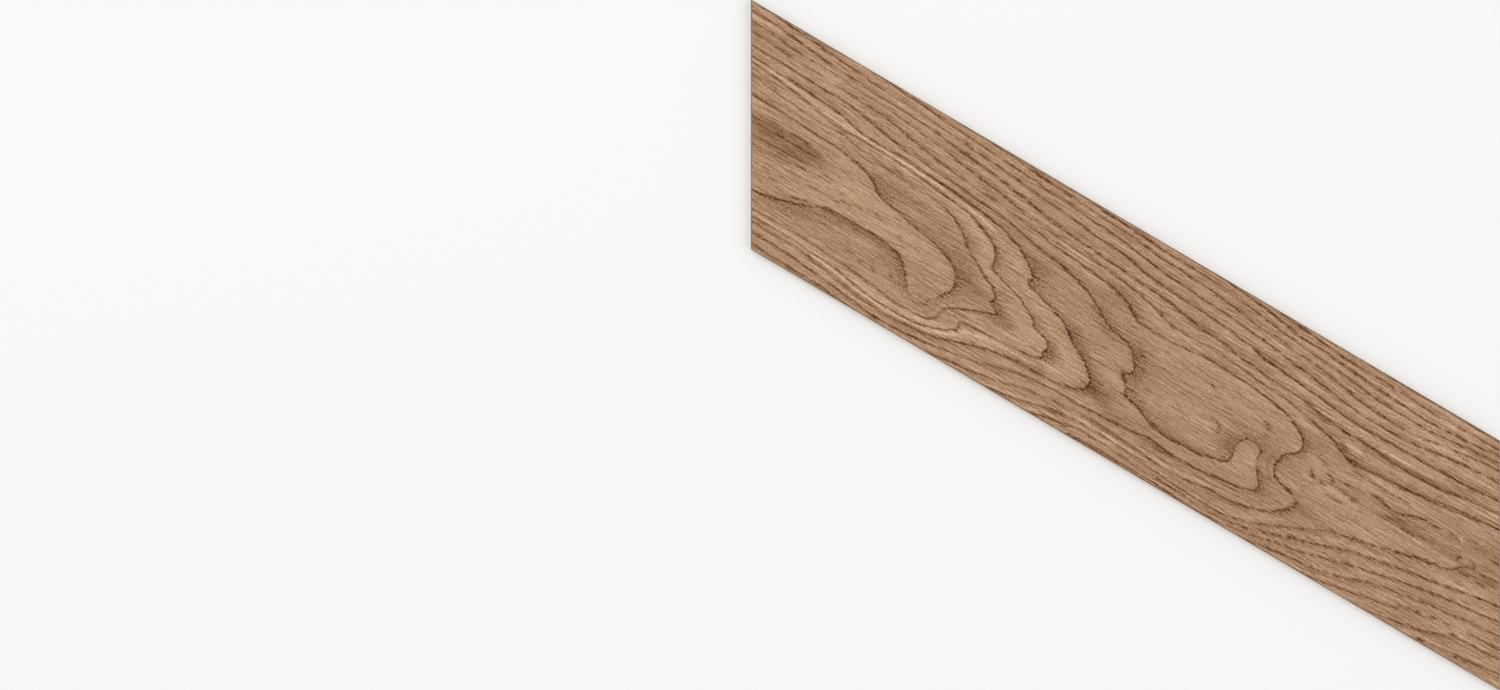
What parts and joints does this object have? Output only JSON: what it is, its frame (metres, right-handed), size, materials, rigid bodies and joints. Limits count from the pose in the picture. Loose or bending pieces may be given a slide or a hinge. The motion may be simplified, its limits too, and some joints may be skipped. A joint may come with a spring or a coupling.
{
  "type": "chevron wall tile",
  "caption": "Wood-look porcelain wall tile: a flat parallelogram strip with parallel mitred ends that meets its mirror image in a chevron, with keying grooves along the back.",
  "frame": {"origin": "centre of the tile's outline on the plane that the back ribs rest on", "axes": "+Z out of the decorated face, +Y up along the mitred ends (the joint line of the chevron), +X from the joint towards the far end, so the long edges fall towards +X"},
  "size_m": [0.6894, 0.6358, 0.009],
  "materials": {
    "porcelain": "matte glazed face with a printed oak figure, bare fired body on the edges and back"
  },
  "bodies": {
    "root": {"chevron_tile": "porcelain"}
  },
  "joints": []
}
